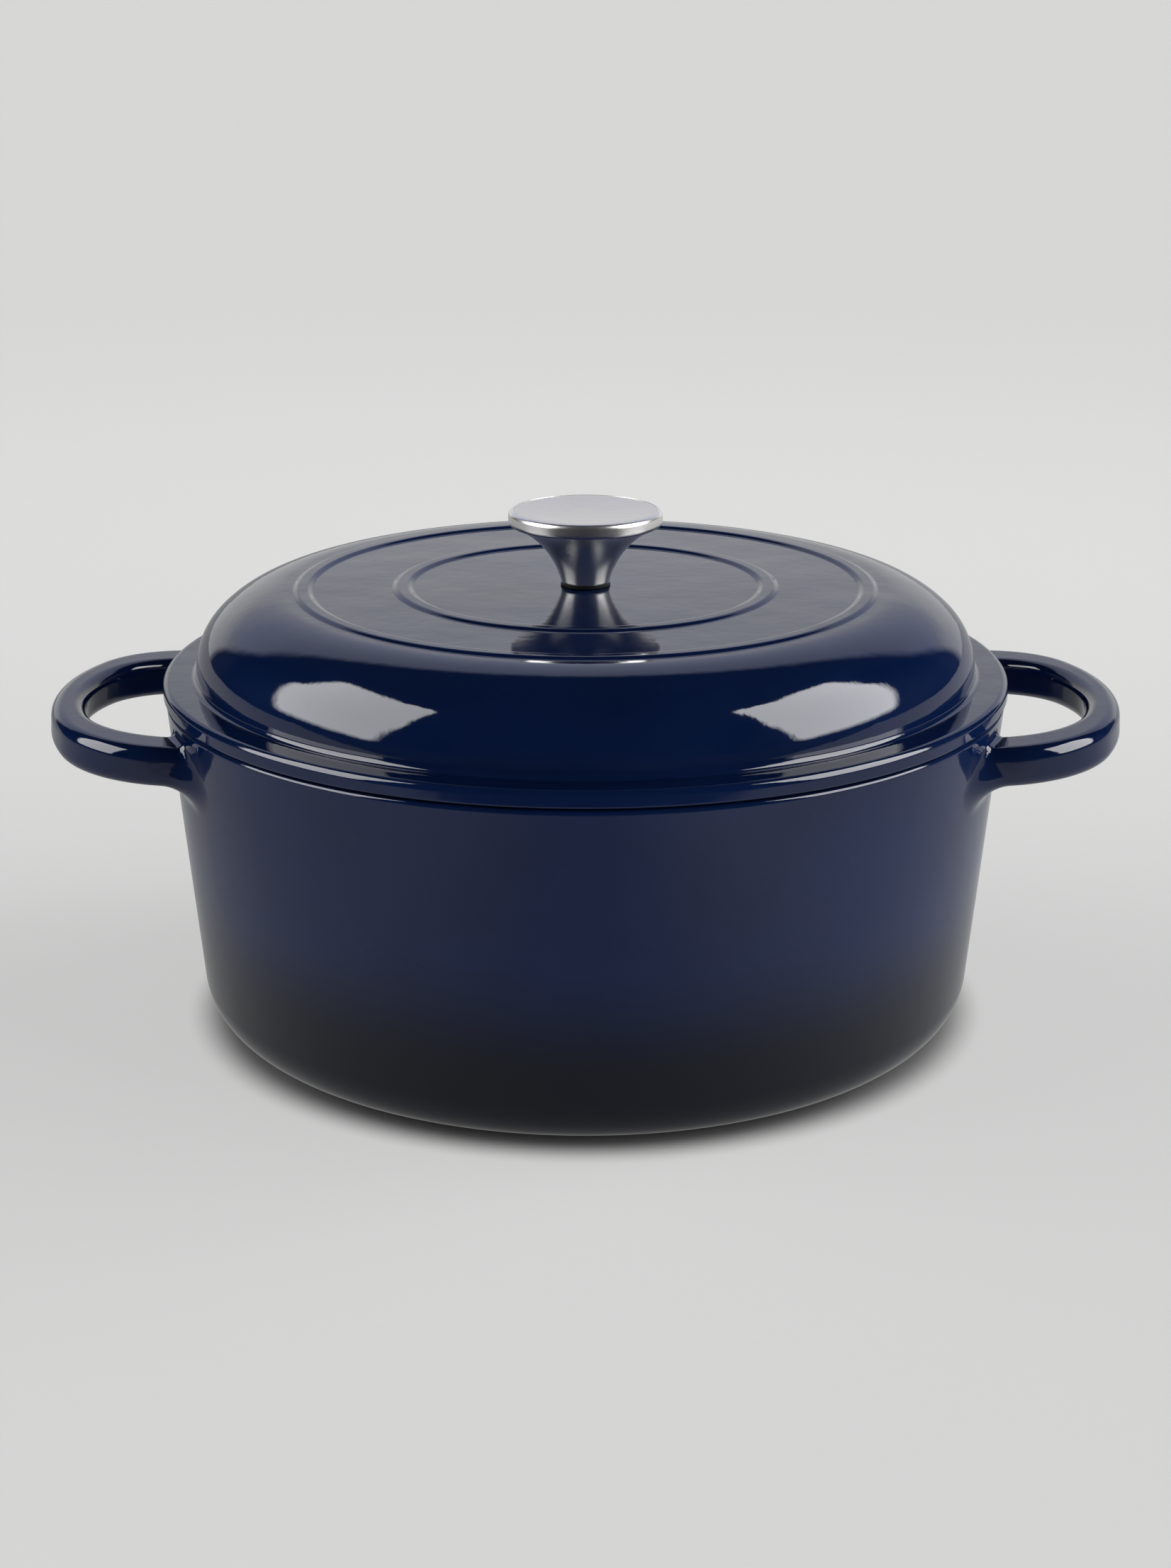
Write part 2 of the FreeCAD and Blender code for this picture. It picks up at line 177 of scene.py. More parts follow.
# ---------------------------------------------------------------- materials


def new_material(name, color, roughness, metallic=0.0, ior=1.5):
    """A material whose plain numbers sit on the shader's own sockets."""
    material = bpy.data.materials.new(name)
    material.use_nodes = True
    shader = material.node_tree.nodes["Principled BSDF"]
    shader.inputs["Base Color"].default_value = (*color, 1)
    shader.inputs["Roughness"].default_value = roughness
    shader.inputs["Metallic"].default_value = metallic
    shader.inputs["IOR"].default_value = ior
    return material, material.node_tree, shader


def add_node(tree, kind, **settings):
    """A shader node with its properties and input values set by name."""
    node = tree.nodes.new(kind)
    for key, value in settings.items():
        name = key.replace("_", " ").title()
        if name in node.inputs:
            node.inputs[name].default_value = value
        else:
            setattr(node, key, value)
    return node


def object_place(tree, stretch=(1, 1, 1)):
    """The place on the object, scaled along each axis."""
    coordinates = add_node(tree, "ShaderNodeTexCoord")
    mapping = add_node(tree, "ShaderNodeMapping")
    mapping.inputs["Scale"].default_value = stretch
    tree.links.new(coordinates.outputs["Object"], mapping.inputs["Vector"])
    return mapping.outputs["Vector"]


def noise(tree, place, scale, detail=2.0, roughness=0.5):
    """Noise with so many waves to the metre."""
    node = add_node(tree, "ShaderNodeTexNoise", scale=scale, detail=detail, roughness=roughness)
    tree.links.new(place, node.inputs["Vector"])
    return node.outputs["Fac"]


def spread(tree, value, low, high):
    """Maps noise, which stays mostly between 0.3 and 0.7, to a range of values."""
    node = add_node(tree, "ShaderNodeMapRange")
    node.inputs["From Min"].default_value = 0.3
    node.inputs["From Max"].default_value = 0.7
    node.inputs["To Min"].default_value = low
    node.inputs["To Max"].default_value = high
    tree.links.new(value, node.inputs["Value"])
    return node.outputs["Result"]


def smooth_ramp(tree, source, low, high, start, end):
    """Goes smoothly from start to end as the source goes from low to high."""
    node = add_node(tree, "ShaderNodeMapRange", interpolation_type="SMOOTHSTEP")
    node.inputs["From Min"].default_value = low
    node.inputs["From Max"].default_value = high
    node.inputs["To Min"].default_value = start
    node.inputs["To Max"].default_value = end
    tree.links.new(source, node.inputs["Value"])
    return node.outputs["Result"]


def combine(tree, operation, first, second):
    """Adds or multiplies two values."""
    node = add_node(tree, "ShaderNodeMath", operation=operation)
    tree.links.new(first, node.inputs[0])
    tree.links.new(second, node.inputs[1])
    return node.outputs["Value"]


def blend(tree, share, first, last):
    """A colour between two, which are each a colour or another node's output."""
    mix = add_node(tree, "ShaderNodeMix", data_type="RGBA")
    for socket, color in ((mix.inputs[6], first), (mix.inputs[7], last)):
        if isinstance(color, tuple):
            socket.default_value = (*color, 1)
        else:
            tree.links.new(color, socket)
    tree.links.new(share, mix.inputs[0])
    return mix.outputs[2]


def part_of(tree, vector, axis):
    """One of the three parts of a vector."""
    split = add_node(tree, "ShaderNodeSeparateXYZ")
    tree.links.new(vector, split.inputs["Vector"])
    return split.outputs[axis]


def tint(tree, shader, value, dark, light):
    """Colours a shader between two shades by a value."""
    tree.links.new(blend(tree, value, dark, light), shader.inputs["Base Color"])


def add_bump(tree, shader, value, height, under=None):
    """Raises the surface by a value times a height, on top of another bump if one is given."""
    bump = add_node(tree, "ShaderNodeBump")
    bump.inputs["Distance"].default_value = height
    tree.links.new(value, bump.inputs["Height"])
    if under:
        tree.links.new(under.outputs["Normal"], bump.inputs["Normal"])
    tree.links.new(bump.outputs["Normal"], shader.inputs["Normal"])
    return bump


def enamel(name, deep, pale, foot, roughness=0.045):
    """Glass enamel over cast iron: glossy, with the slow waves of the casting and a fine orange peel.
    Its colour darkens to another one toward the foot: painted shade, standing in for the dimmer light
    near the floor."""
    material, tree, shader = new_material(name, deep, roughness, ior=1.56)
    place = object_place(tree)
    clouds = spread(tree, noise(tree, place, 28, detail=4), 0, 1)
    shade = blend(tree, clouds, deep, pale)
    # painted shade: the colour goes over to the foot colour from 62 mm down to 22 mm, for the dimmer
    # light near the floor
    above_painted_foot_shade = smooth_ramp(tree, part_of(tree, place, "Z"), 0.022, 0.062, 0.0, 1.0)
    tree.links.new(blend(tree, above_painted_foot_shade, foot, shade), shader.inputs["Base Color"])
    waves = add_bump(tree, shader, noise(tree, place, 38, detail=1), 0.00018)
    add_bump(tree, shader, noise(tree, place, 230, detail=2), 0.00003, under=waves)
    return material


def matt_enamel(name, color):
    """The thin rough black coat on the seat and under the foot."""
    material, tree, shader = new_material(name, color, 0.55)
    place = object_place(tree)
    lighter = tuple(3 * part for part in color)
    specks = spread(tree, noise(tree, place, 900, detail=4), 0, 1)
    tint(tree, shader, specks, color, lighter)
    add_bump(tree, shader, noise(tree, place, 1400, detail=3), 0.00006)
    return material


def ringed_steel(name, roughness, lines, depth):
    """Steel finished on a lathe: fine rings about the Z axis."""
    material, tree, shader = new_material(name, (0.83, 0.82, 0.80), roughness, metallic=1.0)
    distance = add_node(tree, "ShaderNodeVectorMath", operation="LENGTH")
    tree.links.new(object_place(tree, (1, 1, 0)), distance.inputs[0])
    join = add_node(tree, "ShaderNodeCombineXYZ")
    tree.links.new(distance.outputs["Value"], join.inputs["X"])
    tree.links.new(part_of(tree, object_place(tree), "Z"), join.inputs["Z"])
    add_bump(tree, shader, noise(tree, join.outputs["Vector"], lines, detail=3), depth)
    return material


def brushed_steel(name):
    """The knob's cap: straight brush marks along X, long and very fine."""
    material, tree, shader = new_material(name, (0.66, 0.655, 0.645), 0.30, metallic=1.0)
    place = object_place(tree, (60, 5200, 60))
    marks = noise(tree, place, 1.0, detail=4, roughness=0.6)
    tint(tree, shader, spread(tree, marks, 0, 1), (0.68, 0.65, 0.60), (0.88, 0.85, 0.78))
    tree.links.new(spread(tree, marks, 0.24, 0.38), shader.inputs["Roughness"])
    add_bump(tree, shader, marks, 0.000012)
    return material


def rubber(name):
    """Dull black rubber with a fine grain."""
    material, tree, shader = new_material(name, (0.004, 0.004, 0.005), 0.8)
    shader.inputs["Specular IOR Level"].default_value = 0.1
    add_bump(tree, shader, noise(tree, object_place(tree), 2500, detail=2), 0.00002)
    return material


NAVY = enamel(
    "navy_enamel",
    deep=(0.0021, 0.0088, 0.043),
    pale=(0.0028, 0.0115, 0.054),
    # foot: painted shade near the floor, darker than the enamel's own colour
    foot=(0.0008, 0.0024, 0.0075),
)
CREAM = enamel(
    "cream_enamel",
    deep=(0.70, 0.655, 0.56),
    pale=(0.76, 0.715, 0.62),
    # foot: a slight painted shade low inside the pot
    foot=(0.70, 0.65, 0.55),
    roughness=0.09,
)
BLACK = matt_enamel("black_seat_enamel", (0.006, 0.006, 0.007))
POLISHED = ringed_steel("polished_steel", roughness=0.27, lines=4000, depth=0.000001)
SATIN = ringed_steel("satin_steel", roughness=0.28, lines=5200, depth=0.000006)
CAP_STEEL = brushed_steel("brushed_cap_steel")
PLAIN = ringed_steel("plain_steel", roughness=0.28, lines=3000, depth=0.00001)
RUBBER = rubber("black_rubber")

# ---------------------------------------------------------------- lid

OUTSIDE, SEAT, INSIDE = 0, 1, 2
ENAMELS = [NAVY, BLACK, CREAM]

lid_crest = top_of("lid")
ring_height = 1.4 * MM
lid_top = lid_crest - ring_height
flange_rad = radius_of("lid")
flange_low = bottom_of("lid") + 5.6 * MM
flange_top = flange_low + 5.1 * MM
dome_rad = flange_rad - 10.6 * MM
dome_side = flange_top + 2.2 * MM
lid_thick = 4.5 * MM
shoulder_in = 96.0 * MM
shoulder_side = 21.0 * MM
LID_SEGMENTS = 512
# the middle and width of each ridge on the top
RINGS = ((58.3 * MM, 7.2 * MM), (90.0 * MM, 6.8 * MM))
RING_RISE = 0.8 * MM  # how high the ridges look; the CAD's stand ring_height high
RING_SLOPE = 0.30  # how much of a ridge's width each of its two slopes takes
SCREW_HOLE = 3.3 * MM


def shoulder(inset):
    """The dome's shoulder: a wide arc from the flat top and a tighter one down to the upright side."""
    wide = dome_rad - shoulder_in
    tall = lid_top - dome_side
    top_radius = (wide**2 + tall**2 - 2 * wide * shoulder_side) / (2 * (tall - shoulder_side))
    top_centre = (shoulder_in, lid_top - top_radius)
    side_centre = (dome_rad - shoulder_side, dome_side)
    join = math.degrees(math.atan2(side_centre[1] - top_centre[1], side_centre[0] - top_centre[0]))
    upper = arc(top_centre, top_radius - inset, 90, join, 16)
    lower = arc(side_centre, shoulder_side - inset, join, 0, 20)
    return upper + lower[1:]


def raised_ring(middle, width):
    """A ridge with soft feet and a nearly flat top."""
    points = []
    for share in np.linspace(-0.5, 0.5, 25):
        slope = min(1, (0.5 - abs(share)) / RING_SLOPE)
        rise = RING_RISE * (0.5 - 0.5 * math.cos(math.pi * slope))
        points.append((middle + share * width, lid_top + rise))
    return points


def build_lid():
    skirt_low = bottom_of("lid")
    seat_high = flange_low - 0.5 * MM
    seat_out = flange_rad - 2.4 * MM
    skin = [(SCREW_HOLE, lid_top)]
    for middle, width in RINGS:
        skin += raised_ring(middle, width)
    skin += shoulder(0)
    corners = [(r, z, 0, OUTSIDE) for r, z in skin]
    corners += [
        (dome_rad, flange_top, 1.9 * MM, OUTSIDE),
        (flange_rad, flange_top, 2.0 * MM, OUTSIDE),
        (flange_rad, flange_low, 0.7 * MM, OUTSIDE),
        (seat_out, flange_low, 0, SEAT),
        (seat_out, seat_high, 0, SEAT),
        (flange_rad - 6.2 * MM, seat_high, 0, SEAT),
        (flange_rad - 7.6 * MM, skirt_low, 1.2 * MM, INSIDE),
        (flange_rad - 12.4 * MM, skirt_low, 1.2 * MM, INSIDE),
    ]
    corners += [(r, z, 0, INSIDE) for r, z in reversed(shoulder(lid_thick))]
    corners += [(SCREW_HOLE, lid_top - lid_thick, 0, INSIDE), (SCREW_HOLE, lid_top, 0, OUTSIDE)]
    lid = turned_piece("lid_casting", corners, LID_SEGMENTS, ENAMELS)
    stand_for(lid, "lid", "lid")


# ---------------------------------------------------------------- knob

KNOB_SEGMENTS = 128
stem_low = bottom_of("knob_body")
knob_top = top_of("knob_body")
knob_rad = radius_of("knob_body")
cap_rad = radius_of("knob_cap")
gasket_rad = radius_of("knob_gasket")
foot_rad = 7.65 * MM
flare_rad = 22.3 * MM
flare_top = stem_low + 18.5 * MM
flare_round = 27.1 * MM


def flare():
    """The stem's concave arc from its foot to the underside of the rim."""
    start = np.array((foot_rad, stem_low))
    end = np.array((flare_rad, flare_top))
    chord = end - start
    length = np.linalg.norm(chord)
    right = np.array((chord[1], -chord[0])) / length
    centre = (start + end) / 2 + right * math.sqrt(flare_round**2 - (length / 2) ** 2)
    first = math.degrees(math.atan2(*(start - centre)[::-1])) % 360
    last = math.degrees(math.atan2(*(end - centre)[::-1])) % 360
    return arc(centre, flare_round, first, last, 24)


def build_knob():
    satin, polished = 0, 1
    rim_low = stem_low + 19.2 * MM
    cap_low = knob_top - 1.4 * MM
    shell = [(4.6 * MM, stem_low, 0, satin)]
    shell += [(r, z, 0, satin) for r, z in flare()]
    shell += [
        (knob_rad, rim_low, 1.5 * MM, polished),
        (knob_rad, knob_top, 1.5 * MM, polished),
        (cap_rad, knob_top, 0, polished),
        (cap_rad, cap_low, 0, polished),
    ]
    stem = turned_piece("knob_stem", shell, KNOB_SEGMENTS, [SATIN, POLISHED])
    stand_for(stem, "knob_body", "lid")

    dish = 0.5 * MM
    edge_high = knob_top - 0.12 * MM
    face = []
    for share in np.linspace(0, 0.985, 14):
        face.append((cap_rad * share, knob_top - dish * (1 - share**2), 0, 0))
    face += [(cap_rad, edge_high, 0, 0), (cap_rad, cap_low, 0, 0), (0, cap_low, 0, 0)]
    cap = turned_piece("knob_face", face, KNOB_SEGMENTS, [CAP_STEEL])
    stand_for(cap, "knob_cap", "lid")

    washer = [
        (SCREW_HOLE, lid_top, 0, 0),
        (gasket_rad, lid_top, 0, 0),
        (gasket_rad, stem_low, 0.25 * MM, 0),
        (SCREW_HOLE, stem_low, 0, 0),
    ]
    gasket = turned_piece("knob_foot_gasket", washer, 96, [RUBBER])
    stand_for(gasket, "knob_gasket", "lid")


# ---------------------------------------------------------------- pot

pot_low = bottom_of("pot")
rim_top = top_of("pot")
rim_rad = radius_of("pot")
DRAFT = math.tan(math.radians(5.4))
WALL = 4.8 * MM
FLOOR = 5.2 * MM
base_rad = rim_rad - rim_top * DRAFT
GRIP_TILT = math.radians(3.4)
GRIP_LOW = 89.9 * MM - 112.0 * MM * math.tan(GRIP_TILT)
GRIP_THICK = 12.6 * MM
GRIP_ROUND = 4.0 * MM
grip_tip = cad_box["pot"][1][0]
GRIP_REACH = (grip_tip - GRIP_ROUND * (1 - math.sin(GRIP_TILT))) / math.cos(GRIP_TILT) + GRIP_ROUND
# reach, half width, corner radius and end bow's radius of a loop handle's outline and of its gap
GRIP_LOOP = (GRIP_REACH, 60.0 * MM, 38.0 * MM, 92.0 * MM)
GAP_LOOP = (GRIP_REACH - 10.6 * MM, 43.0 * MM, 29.0 * MM, 66.0 * MM)

POT_SEGMENTS = 384
# the wall's columns, rows and heights that a branch of a handle grows from
ROOT_FIRST = 13
ROOT_LAST = 35
ROOT_LOW = 78.0 * MM
ROOT_HIGH = 106.9 * MM
ROOT_ROWS = 16


def wall_radius(height):
    return rim_rad - (rim_top - height) * DRAFT


def loop_outline(along, side, reach, half, corner, bow):
    """Distance in plan to a loop: straight sides, round corners and a wide bow across the end."""
    core_half = half - corner
    core_bow = bow - corner
    bow_x = reach - bow
    corner_x = bow_x + math.sqrt(core_bow**2 - core_half**2)
    across = np.abs(side)
    to_side = across - core_half
    to_corner = np.hypot(along - corner_x, across - core_half)
    to_bow = np.hypot(along - bow_x, across) - core_bow
    faces_bow = across * (corner_x - bow_x) <= core_half * (along - bow_x)
    beside = np.where(along <= corner_x, to_side, to_corner)
    return np.where(faces_bow, to_bow, beside) - corner


def loop_points(reach, half, corner, bow):
    """Points along half of a loop's outline, from its straight +Y side to the middle of its bow."""
    core_half = half - corner
    core_bow = bow - corner
    join = math.asin(core_half / core_bow)
    corner_x = reach - bow + core_bow * math.cos(join)
    round_corner = arc((corner_x, core_half), corner, 90, math.degrees(join), 20)
    across_end = arc((reach - bow, 0), bow, math.degrees(join), 0, 12)
    return np.array(round_corner + across_end[1:])


def into_grip(points):
    """Turns points on the pot into the tilted handle's own lengthwise, sideways and upward ones."""
    x, y, z = points.T
    rise = z - GRIP_LOW
    along = x * math.cos(GRIP_TILT) + rise * math.sin(GRIP_TILT)
    up = rise * math.cos(GRIP_TILT) - x * math.sin(GRIP_TILT)
    return along, y, up


def out_of_grip(along, side, up):
    """The point on the pot at these distances in the tilted handle."""
    x = along * math.cos(GRIP_TILT) - up * math.sin(GRIP_TILT)
    z = GRIP_LOW + along * math.sin(GRIP_TILT) + up * math.cos(GRIP_TILT)
    return x, side, z


def grip_distance(along, side, up):
    """Distance to the loop handle's bar, its edges rounded."""
    outer = loop_outline(along, side, *GRIP_LOOP)
    gap = loop_outline(along, side, *GAP_LOOP)
    plan = np.maximum(outer, -gap) + GRIP_ROUND
    upright = np.abs(up - GRIP_THICK / 2) - GRIP_THICK / 2 + GRIP_ROUND
    outside = np.hypot(np.maximum(plan, 0), np.maximum(upright, 0))
    return outside + np.minimum(np.maximum(plan, upright), 0) - GRIP_ROUND


def pot_distance(points):
    """Distance to the outside of the wall joined to a handle by a fillet, wider below than above."""
    x, y, z = points.T
    wall = (np.hypot(x, y) - wall_radius(z)) / math.hypot(1, DRAFT)
    along, side, up = into_grip(points)
    grip = grip_distance(along, side, up)
    lift = np.clip(up / GRIP_THICK, 0, 1)
    ease = lift * lift * (3 - 2 * lift)
    fillet = (9.0 - 5.8 * ease) * MM
    near_wall = np.maximum(fillet - wall, 0)
    near_grip = np.maximum(fillet - grip, 0)
    return np.maximum(fillet, np.minimum(wall, grip)) - np.hypot(near_wall, near_grip)


def outward_slope(points):
    """The slope of the distance at each point, which is square to the surface there."""
    step = 1e-6
    slope = np.empty_like(points)
    for axis in range(3):
        nudge = np.zeros(3)
        nudge[axis] = step
        slope[:, axis] = (pot_distance(points + nudge) - pot_distance(points - nudge)) / (2 * step)
    return slope


def settle(points):
    """Moves points onto the pot's surface along the distance's own slope."""
    for _ in range(12):
        slope = outward_slope(points)
        steepness = np.maximum((slope**2).sum(axis=1), 0.05)
        points = points - slope * (pot_distance(points) / steepness)[:, None]
    return points


def corner_normals(mesh):
    """The mean normal of the faces around each vertex, weighted by their areas."""
    areas = np.array([face.area for face in mesh.polygons])
    normals = np.array([face.normal for face in mesh.polygons]) * areas[:, None]
    corner_counts = [len(face.vertices) for face in mesh.polygons]
    vertex_numbers = [number for face in mesh.polygons for number in face.vertices]
    sums = np.zeros((len(mesh.vertices), 3))
    np.add.at(sums, vertex_numbers, np.repeat(normals, corner_counts, axis=0))
    return sums / np.linalg.norm(sums, axis=1)[:, None]


def root_normals(places):
    """The surface's own normals at places on either handle or its roots."""
    flips = np.ones_like(places)
    flips[:, 0] = np.sign(places[:, 0])
    slope = outward_slope(places * flips) * flips
    return slope / np.linalg.norm(slope, axis=1)[:, None]


def root_outline(side):
    """The window in the wall for one branch, as (row, column) up its outer side, along its top, down
    and back. Rows count up the wall. side is 1 for the +Y branch and -1 for the -Y one."""
    up = [(row, ROOT_LAST) for row in range(ROOT_ROWS)]
    over = [(ROOT_ROWS, column) for column in range(ROOT_LAST, ROOT_FIRST, -1)]
    down = [(row, ROOT_FIRST) for row in range(ROOT_ROWS, 0, -1)]
    back = [(0, column) for column in range(ROOT_FIRST, ROOT_LAST)]
    return [(row, side * column) for row, column in up + over + down + back]


def bar_section():
    """The bar's section as shares of its width and height from the middle, walked like the window.
    The first share is positive away from the finger gap."""
    width_cells = ROOT_LAST - ROOT_FIRST
    points = [(0.5, -0.5 + row / ROOT_ROWS) for row in range(ROOT_ROWS)]
    points += [(0.5 - cell / width_cells, 0.5) for cell in range(width_cells)]
    return points + [(-across, -up) for across, up in points]


def bar_rings():
    """Rings of points around the bar from one branch's start, round the loop, to the other's."""
    half_way = list(zip(loop_points(*GRIP_LOOP), loop_points(*GAP_LOOP)))
    backwards = np.array((1, -1))
    pairs = half_way + [(outer * backwards, gap * backwards) for outer, gap in reversed(half_way[:-1])]
    rings = []
    for outer, gap in pairs:
        ring = []
        for across, up in bar_section():
            along, side = gap + (outer - gap) * (across + 0.5)
            ring.append(out_of_grip(along, side, GRIP_THICK * (up + 0.5)))
        rings.append(np.array(ring))
    return rings


def pot_corners():
    """The pot's section: the foot from its centre, the outside, the rim and the inside."""
    foot_in = 98.0 * MM
    recess = 0.8 * MM
    lower_wall = np.linspace(30 * MM, ROOT_LOW, 8)[:-1]
    root_rows = np.linspace(ROOT_LOW, ROOT_HIGH, ROOT_ROWS + 1)
    outside = [(wall_radius(z), z, 0, OUTSIDE) for z in (*lower_wall, *root_rows)]
    return [
        (0, recess, 0, SEAT),
        (foot_in, recess, 0.5 * MM, SEAT),
        (foot_in + recess, pot_low, 0.2 * MM, SEAT),
        (base_rad, pot_low, 17.0 * MM, OUTSIDE),
        *outside,
        (rim_rad, rim_top, 1.3 * MM, OUTSIDE),
        (rim_rad - 1.9 * MM, rim_top, 0, SEAT),
        (rim_rad - WALL, rim_top, 1.3 * MM, SEAT),
        (rim_rad - WALL - 2.4 * MM * DRAFT, rim_top - 2.4 * MM, 0, INSIDE),
        (wall_radius(FLOOR) - WALL, FLOOR, 13.0 * MM, INSIDE),
        (0, FLOOR, 0, INSIDE),
    ]


def column_at(column, mirror):
    """The wall's column for a handle's column. mirror is 1 for the +X handle and -1 for the other."""
    turned = column if mirror > 0 else POT_SEGMENTS // 2 - column
    return turned % POT_SEGMENTS


def window_cells(first_row):
    """The wall's cells that the four branches replace."""
    cells = set()
    for row in range(ROOT_ROWS):
        for column in range(ROOT_FIRST, ROOT_LAST):
            cells.add((first_row + row, column_at(column, 1)))
            cells.add((first_row + row, column_at(-column - 1, 1)))
            cells.add((first_row + row, column_at(column + 1, -1)))
            cells.add((first_row + row, column_at(-column, -1)))
    return cells


def grip_strip(first_ring, last_ring):
    """The free rings of one loop handle between its two windows, settled on the surface."""
    rings = bar_rings()
    shares = np.linspace(0, 1, 24)[1:-1]
    free = [first_ring * (1 - share) + rings[0] * share for share in shares]
    free += rings
    free += [rings[-1] * (1 - share) + last_ring * share for share in shares]
    return settle(np.concatenate(free))


def build_pot():
    points, skins = section(pot_corners())
    vertices, table = lathe_grid(points, POT_SEGMENTS)
    heights = np.array([height for _, height in points])
    first_row = int(np.argmin(abs(heights - ROOT_LOW)))
    faces, face_skins = lathe_faces(table, skins, window_cells(first_row))
    wall_places = np.array(vertices)
    on_root = []
    for mirror in (1, -1):
        flip = np.array((mirror, 1, 1))
        start, finish = (
            [table[first_row + row][column_at(column, mirror)] for row, column in root_outline(side)]
            for side in (1, -1)
        )
        settled = grip_strip(wall_places[start] * flip, wall_places[finish] * flip)
        count = len(start)
        numbers = np.arange(len(vertices), len(vertices) + len(settled)).reshape(-1, count)
        vertices += [tuple(point) for point in settled * flip]
        rings = [start, *numbers.tolist(), finish]
        on_root += [number for ring in rings for number in ring]
        for before, after in zip(rings, rings[1:]):
            for cell in range(count):
                beyond = (cell + 1) % count
                corners = [before[cell], before[beyond], after[beyond], after[cell]]
                faces.append(corners[::mirror])
                face_skins.append(OUTSIDE)
    pot = new_mesh("pot_casting", vertices, faces, face_skins, ENAMELS)
    pot.modifiers.clear()
    normals = corner_normals(pot.data)
    normals[on_root] = root_normals(np.array(vertices)[on_root])
    pot.data.normals_split_custom_set_from_vertices(normals.tolist())
    stand_for(pot, "pot", "pot")


build_lid()
build_knob()
build_pot()

for node in ("knob_insert", "knob_screw", "spring_washer", "flat_washer"):
    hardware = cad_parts[node]
    hardware.data.materials.clear()
    hardware.data.materials.append(PLAIN)

# ---------------------------------------------------------------- studio


def glow_of(tree, strength):
    """A white glow as strong as a number or a value."""
    glow = add_node(tree, "ShaderNodeEmission")
    if isinstance(strength, float):
        glow.inputs["Strength"].default_value = strength
    else:
        tree.links.new(strength, glow.inputs["Strength"])
    return glow.outputs["Emission"]


def glowing_material(name, strength_of):
    """A material that only glows. strength_of gives the strength from the material's node tree."""
    material = bpy.data.materials.new(name)
    material.use_nodes = True
    tree = material.node_tree
    tree.nodes.clear()
    output = add_node(tree, "ShaderNodeOutputMaterial")
    tree.links.new(glow_of(tree, strength_of(tree)), output.inputs["Surface"])
    return material


def flat_square(name, height, material):
    """A level square, wide enough to fill the picture."""
    reach = 60.0
    corners = [(x * reach, y * reach, height) for x, y in ((-1, -1), (1, -1), (1, 1), (-1, 1))]
    square = new_mesh(name, corners, [(0, 1, 2, 3)], [0], [material])
    return square


def build_floor():
    """A pale floor that glows, with a painted contact shadow where the glow fades out under the pot's
    edge, and a little dimmer further out. The enamel doesn't mirror it.
    """
    material, tree, shader = new_material("studio_floor", (0.165, 0.165, 0.164), 0.9)
    shader.inputs["Specular IOR Level"].default_value = 0.0
    from_centre = add_node(tree, "ShaderNodeVectorMath", operation="LENGTH")
    tree.links.new(object_place(tree), from_centre.inputs[0])
    shader.inputs["Emission Color"].default_value = (1, 1, 0.993, 1)
    # painted contact shadow: no glow under the pot, full glow just past its foot
    glow_and_painted_contact_shadow = smooth_ramp(tree, from_centre.outputs["Value"], 0.1165, 0.133, 0.0, 0.485)
    # the glow also dims slightly further out
    fading = smooth_ramp(tree, from_centre.outputs["Value"], 0.45, 1.8, 1.0, 0.87)
    tree.links.new(combine(tree, "MULTIPLY", glow_and_painted_contact_shadow, fading), shader.inputs["Emission Strength"])
    floor = flat_square("floor", 0.0, material)
    floor.visible_glossy = False


def build_painted_floor_reflection():
    """A glowing sheet that only reflections see, a painted reflection of the table: dim in the middle
    and paler at the sides. Further out in front it is painted nearly dark, in place of a black flag."""

    def level(tree):
        place = object_place(tree)
        x = part_of(tree, place, "X")
        # painted reflection: the sheet's glow, brighter toward the right
        rightward = smooth_ramp(tree, x, 0.0, 0.2, 0.22, 0.45)
        leftward = smooth_ramp(tree, x, -0.2, 0.0, 0.14, 0.0)
        # painted dark in front, standing in for a black flag
        painted_flag_dimming = smooth_ramp(tree, part_of(tree, place, "Y"), -0.43, -0.35, 0.08, 1.0)
        return combine(tree, "MULTIPLY", combine(tree, "ADD", rightward, leftward), painted_flag_dimming)

    floor = flat_square("painted_floor_reflection", 0.02 * MM, glowing_material("painted_floor_reflection", level))
    floor.visible_camera = False
    floor.visible_diffuse = False
    floor.visible_shadow = False


def build_softbox(side, strength):
    """A tall soft light beside the pot, as the enamel mirrors it, with rounded corners and fading
    edges. side is 1 on the right and -1 on the left."""
    away = side * 1.0
    corners = ((-0.66, 0.14), (0.08, 0.22), (0.33, 0.78), (0.47, 1.40), (-0.56, 1.82), (-0.73, 0.85))
    edge = []
    for number, corner in enumerate(corners):
        following = corners[(number + 1) % len(corners)]
        edge += soften(corners[number - 1], corner, following, 0.10)
    centre = np.mean(edge, axis=0)
    full_glow = centre + (np.array(edge) - centre) * 0.9
    count = len(edge)
    points = [(away, y, z) for y, z in [*edge, *full_glow]]
    faces = [tuple(range(count, 2 * count))]
    for number in range(count):
        after = (number + 1) % count
        faces.append((number, after, count + after, count + number))

    def level(tree):
        glow = add_node(tree, "ShaderNodeAttribute", attribute_name="glow")
        full = add_node(tree, "ShaderNodeValue")
        full.outputs[0].default_value = strength
        return combine(tree, "MULTIPLY", glow.outputs["Fac"], full.outputs[0])

    name = "softbox_right" if side > 0 else "softbox_left"
    material = glowing_material(name, level)
    box = new_mesh(name, points, faces, [0] * len(faces), [material])
    glow = box.data.attributes.new("glow", "FLOAT", "POINT")
    glow.data.foreach_set("value", [0.0] * count + [1.0] * count)
    box.visible_camera = False
    box.visible_diffuse = False


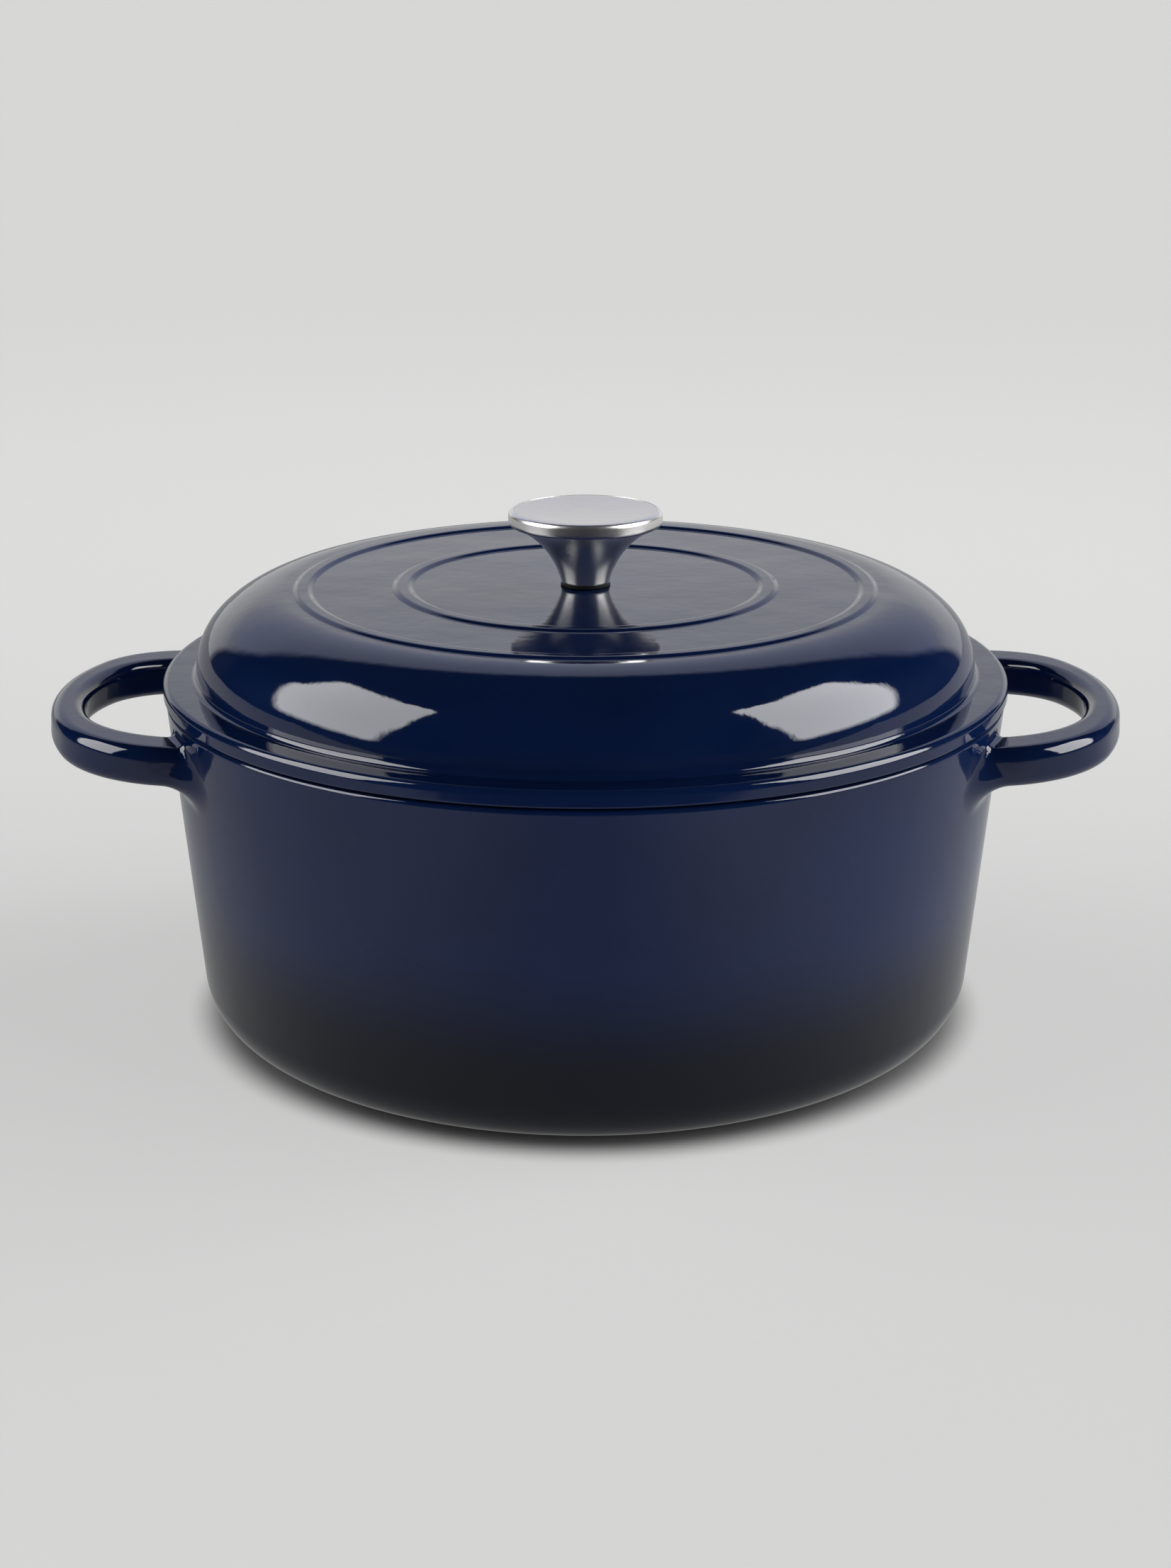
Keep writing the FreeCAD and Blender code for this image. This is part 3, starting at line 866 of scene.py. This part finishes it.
def background(tree, color, strength):
    """A background. Its colour and strength are each a constant or another node's output."""
    node = add_node(tree, "ShaderNodeBackground")
    for name, value in (("Color", color), ("Strength", strength)):
        if isinstance(value, (float, tuple)):
            node.inputs[name].default_value = value
        else:
            tree.links.new(value, node.inputs[name])
    return node.outputs["Background"]


def choose(tree, share, first, last):
    """The first shader where the share is 0 and the last where it is 1."""
    mix = add_node(tree, "ShaderNodeMixShader")
    tree.links.new(share, mix.inputs[0])
    tree.links.new(first, mix.inputs[1])
    tree.links.new(last, mix.inputs[2])
    return mix.outputs["Shader"]


def build_world():
    """Soft light from the sides and above. Mirrors see a bright backdrop behind the pot, in a dark
    room, and the camera sees a plain pale one."""
    world = bpy.data.worlds.new("studio")
    bpy.context.scene.world = world
    world.use_nodes = True
    tree = world.node_tree
    tree.nodes.clear()
    coordinates = add_node(tree, "ShaderNodeTexCoord")
    direction = coordinates.outputs["Generated"]
    rightward, backward, upward = (part_of(tree, direction, axis) for axis in "XYZ")

    aside = add_node(tree, "ShaderNodeMath", operation="ABSOLUTE")
    tree.links.new(rightward, aside.inputs[0])
    behind = smooth_ramp(tree, backward, 0.61, 0.70, 0.02, 0.80)
    within = smooth_ramp(tree, aside.outputs["Value"], 0.56, 0.64, 1.0, 0.03)
    fading = smooth_ramp(tree, upward, 0.18, 0.30, 1.0, 0.78)
    backdrop = combine(tree, "MULTIPLY", combine(tree, "MULTIPLY", behind, within), fading)
    higher = smooth_ramp(tree, upward, 0.16, 0.40, 0.0, 1.0)
    backdrop_color = blend(tree, higher, (1.0, 1.0, 1.0), (0.80, 0.86, 1.12))
    mirrored = background(tree, backdrop_color, backdrop)

    overhead = smooth_ramp(tree, upward, 0.35, 1.0, 0.03, 0.30)
    from_right = smooth_ramp(tree, rightward, 0.6, 0.95, 0.0, 14.5)
    from_left = smooth_ramp(tree, rightward, -0.95, -0.6, 7.0, 0.0)
    from_sides = combine(tree, "ADD", from_right, from_left)
    white = (1.0, 1.0, 1.0, 1.0)
    soft = background(tree, white, combine(tree, "ADD", overhead, from_sides))
    seen = background(tree, white, 0.69)

    path = add_node(tree, "ShaderNodeLightPath")
    lighting = choose(tree, path.outputs["Is Glossy Ray"], soft, mirrored)
    output = add_node(tree, "ShaderNodeOutputWorld")
    picture = choose(tree, path.outputs["Is Camera Ray"], lighting, seen)
    tree.links.new(picture, output.inputs["Surface"])


def build_camera():
    """Straight on from the front, a little above the lid and tilted down."""
    data = bpy.data.cameras.new("camera")
    data.sensor_width = 36.0
    data.lens = 62.57
    camera = bpy.data.objects.new("camera", data)
    camera.location = (0, -0.850, 0.3451)
    camera.rotation_euler = (math.radians(90 - 17.72), 0, 0)
    bpy.context.scene.collection.objects.link(camera)
    bpy.context.scene.camera = camera


build_floor()
build_painted_floor_reflection()
build_softbox(-1, 5.6)
build_softbox(1, 7.0)
build_world()
build_camera()
bpy.context.scene.view_settings.view_transform = "Standard"
